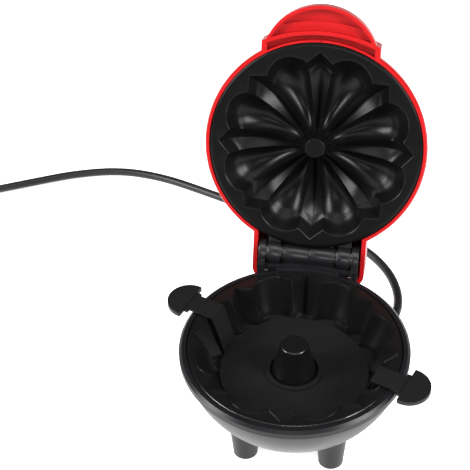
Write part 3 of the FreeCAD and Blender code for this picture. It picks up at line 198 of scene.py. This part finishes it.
def along(column, distance):
    """A column of FLUTES as a smooth curve of the distance."""
    distance = min(max(distance, FLUTES[0][0]), FLUTES[-1][0])
    n = 0
    while n < len(FLUTES) - 2 and FLUTES[n + 1][0] < distance:
        n += 1

    def slope(m):
        low, high = max(m - 1, 0), min(m + 1, len(FLUTES) - 1)
        return (FLUTES[high][column] - FLUTES[low][column]) / (FLUTES[high][0] - FLUTES[low][0])

    start, end = FLUTES[n][0], FLUTES[n + 1][0]
    span = end - start
    t = (distance - start) / span
    return ((2 * t ** 3 - 3 * t ** 2 + 1) * FLUTES[n][column]
            + (t ** 3 - 2 * t ** 2 + t) * span * slope(n)
            + (3 * t ** 2 - 2 * t ** 3) * FLUTES[n + 1][column]
            + (t ** 3 - t ** 2) * span * slope(n + 1))


def outline_radius(angle):
    """Distance of the cavity's outline from the axis, by angle from the nearest spike."""
    if angle <= NOTCH:
        a = math.radians(angle)
        return 57.7 * 7.48 / (7.48 * math.cos(a) + 7.05 * math.sin(a))
    a = math.radians(HALF_SECTOR - angle)
    return 42.93 * math.cos(a) + math.sqrt(14.17 ** 2 - (42.93 * math.sin(a)) ** 2)


def plate_depth(radius, angle):
    """Depth of the plate's face below its rim."""
    if radius <= CENTRE_RADIUS:
        return 0.0
    if angle <= NOTCH:
        share = math.tan(math.radians(angle)) / math.tan(math.radians(NOTCH))
        groove = along(1, radius)
        flute = groove + (along(2, radius * 0.989) - groove) * share
        lobe_share = 0.0
    else:
        # The lobe's section is a curve that leaves the ridge at a slope and levels out.
        bend = 0.2 * (HALF_SECTOR - NOTCH)
        s = (-4 * bend + math.sqrt(16 * bend ** 2 + 4 * bend * (angle - NOTCH))) / (2 * bend)
        lobe_share = 1 - (1 - s) ** 2
        ridge = along(2, radius * 0.989)
        flute = ridge + (along(3, radius * 0.924) - ridge) * lobe_share
    beyond = radius - outline_radius(angle)
    slope = WALL_DEPTH / (0.115 * outline_radius(angle))
    wall = slope * (math.hypot(beyond, 0.45) - beyond) / 2
    wall = -smooth_max(-wall, -WALL_DEPTH, 0.8) * min(max((radius - 24) / 8, 0), 1)
    width = (0.35 + 3.2 * lobe_share) * min(max(-beyond / 5, 0.02), 1)
    return smooth_max(max(wall, 0), flute, max(width, 0.3 if radius < 9 else 0.02))


def swing_open(x, y, z):
    """A point of the closed lid, in millimetres, as a point of the open lid, in metres."""
    dy, dz = y - HINGE_Y, z - HINGE_Z
    return Vector((x, HINGE_Y + dy * math.cos(OPEN) - dz * math.sin(OPEN),
                   HINGE_Z + dy * math.sin(OPEN) + dz * math.cos(OPEN))) / 1000


def ring_point(radius, angle, height):
    """A point at a distance from the lid's axis, as a point of the open lid."""
    return swing_open(radius * math.cos(angle), radius * math.sin(angle), height)


def make_lid_plate():
    """Front and back skins in columns round the axis, closed at the centre and the rim."""
    near = [3, 4.6, 5.3, 5.6, 5.9, 6.4, 7, 8, 9.5, 11.5, 14, 17, 20, 23.5, 27.5, 31.5, 35.5, 38.5]
    inside = [-11.5, -10, -8.8, -7.6, -6.6, -5.6, -4.7, -3.8, -2.9, -2.1, -1.4, -0.9, -0.5, -0.2,
              0.1, 0.45, 0.9]
    offsets = [-22.5, -20.5, -18.5, -16.5, -14.5, -12.5, -11, -9.8, -8.9, -8.4, -6.3, -4.2, -2.1, 0,
               2.1, 4.2, 6.3, 8.4, 8.9, 9.8, 11, 12.5, 14.5, 16.5, 18.5, 20.5]
    build = bmesh.new()
    front, back = [], []
    creases = []
    for spike in range(SPIKES):
        for offset in offsets:
            angle = math.radians(spike * 2 * HALF_SECTOR + offset)
            rim = outline_radius(abs(offset))
            radii = near + [rim + step for step in inside] + [60.5, 62.2]
            heights = [LID_Z + plate_depth(radius, abs(offset)) for radius in radii]
            radii.append(LID_PLATE_RADIUS)
            heights.append(LID_Z + 0.8)
            front.append([build.verts.new(ring_point(r, angle, z))
                          for r, z in zip(radii, heights)])
            back.append([build.verts.new(ring_point(r, angle, max(z + 2.0, LID_Z + 3.0)))
                         for r, z in zip(radii, heights)])
            creases.append(abs(offset) in (0, NOTCH))
    count = len(front)
    last = len(front[0]) - 1
    centres = [build.verts.new(swing_open(0, 0, LID_Z)),
               build.verts.new(swing_open(0, 0, LID_Z + 3))]
    for n in range(count):
        m = (n + 1) % count
        build.faces.new((centres[0], front[n][0], front[m][0]))
        build.faces.new((centres[1], back[m][0], back[n][0]))
        for k in range(last):
            build.faces.new((front[n][k], front[n][k + 1], front[m][k + 1], front[m][k]))
            build.faces.new((back[m][k], back[m][k + 1], back[n][k + 1], back[n][k]))
        build.faces.new((front[n][last], back[n][last], back[m][last], front[m][last]))
        if creases[n]:
            for k in range(8, last - 3):
                build.edges.get((front[n][k], front[n][k + 1])).smooth = False
    for face in build.faces:
        face.smooth = True
    bmesh.ops.recalc_face_normals(build, faces=build.faces)
    mesh = bpy.data.meshes.new("fluted_lid_plate")
    build.to_mesh(mesh)
    build.free()
    mesh.materials.append(COATING)
    plate = bpy.data.objects.new("fluted_lid_plate", mesh)
    scene.collection.objects.link(plate)
    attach(plate, "lid")
    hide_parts("lid_plate")


make_lid_plate()


# ---- mains cord ----

CORD_RADIUS = 0.00285
CORD_ROUTE = [
    (35.06, 59.65, 15.15), (41.2, 69.8, 11.3), (48.0, 81.5, 5.9), (53.4, 94.2, 2.95),
    (56.0, 108.0, 2.95), (54.2, 123.5, 2.95), (46.5, 142.0, 2.95), (31.0, 160.5, 2.95),
    (5.5, 176.0, 2.95), (-28.0, 187.0, 2.95), (-62.0, 197.5, 2.95), (-96.0, 211.0, 2.95),
    (-128.0, 222.5, 2.95), (-161.0, 226.5, 2.95), (-194.0, 218.0, 2.95), (-225.0, 203.0, 2.95),
    (-256.0, 187.5, 2.95), (-288.0, 176.5, 2.95),
]
COIL_CENTRE = (-304.0, 207.5)
COIL_RADIUS = 31.5
COIL_TURNS = 2.25


def coil_points():
    """The put-away turns: loose, and rising by a cord's width where they lie on each other."""
    points = []
    count = 32
    for n in range(1, count + 1):
        share = n / count
        angle = math.radians(-90 - 360 * COIL_TURNS * share)
        radius = COIL_RADIUS + (3.0 * math.cos(share * 2 * math.pi * 1.1) if n < count else 0.5)
        height = 2.95 + 5.6 * min(1, max(0, (share - 0.42) / 0.16))
        points.append((COIL_CENTRE[0] + radius * math.cos(angle),
                       COIL_CENTRE[1] + radius * math.sin(angle), height))
    return points


def curve_tube(name, points, radius):
    """A round cord along a route given in millimetres."""
    data = bpy.data.curves.new(name, "CURVE")
    data.dimensions = "3D"
    spline = data.splines.new("NURBS")
    spline.points.add(len(points) - 1)
    for point, at in zip(spline.points, points):
        point.co = (*[c / 1000 for c in at], 1)
    spline.order_u = 3
    spline.use_endpoint_u = True
    spline.resolution_u = 10
    data.bevel_depth = radius
    data.bevel_resolution = 6
    data.use_fill_caps = True
    obj = bpy.data.objects.new(name, data)
    scene.collection.objects.link(obj)
    data.materials.append(JACKET)
    return obj


lead = curve_tube("mains_lead", CORD_ROUTE + coil_points(), CORD_RADIUS)
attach(lead, "base")
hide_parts("power_cord", "cord_coil")


# ---- stage and light ----

def make_stage():
    """Plain white floor."""
    mesh = bpy.data.meshes.new("floor")
    build = bmesh.new()
    bmesh.ops.create_grid(build, x_segments=1, y_segments=1, size=6)
    build.to_mesh(mesh)
    build.free()
    floor = bpy.data.objects.new("floor", mesh)
    scene.collection.objects.link(floor)
    mat = bpy.data.materials.new("floor")
    mat.use_nodes = True
    shader = mat.node_tree.nodes["Principled BSDF"]
    shader.inputs["Base Color"].default_value = (0.9, 0.9, 0.9, 1)
    shader.inputs["Roughness"].default_value = 0.7
    shader.inputs["Emission Color"].default_value = (1, 1, 1, 1)
    shader.inputs["Emission Strength"].default_value = 0.66
    mesh.materials.append(mat)


def area_light(name, at, target, size, power):
    data = bpy.data.lights.new(name, "AREA")
    data.shape = "RECTANGLE"
    data.size, data.size_y = size
    data.energy = power
    light = bpy.data.objects.new(name, data)
    scene.collection.objects.link(light)
    light.location = at
    light.rotation_mode = "QUATERNION"
    light.rotation_quaternion = (Vector(target) - Vector(at)).to_track_quat("-Z", "Y")


make_stage()
area_light("left_box", (-0.95, -0.35, 0.75), (0, 0.05, 0.1), (0.34, 0.64), 25)
area_light("right_box", (0.95, -0.35, 0.75), (0, 0.05, 0.1), (0.34, 0.64), 25)
area_light("top_box", (0.0, -0.1, 1.5), (0, 0, 0.1), (1.2, 0.6), 9)
area_light("front_box", (0.1, -1.5, 0.9), (0, 0, 0.1), (1.0, 0.4), 8)
world = bpy.data.worlds.new("world")
scene.world = world
world.use_nodes = True
world.node_tree.nodes["Background"].inputs["Color"].default_value = (1, 1, 1, 1)
world.node_tree.nodes["Background"].inputs["Strength"].default_value = 0.05
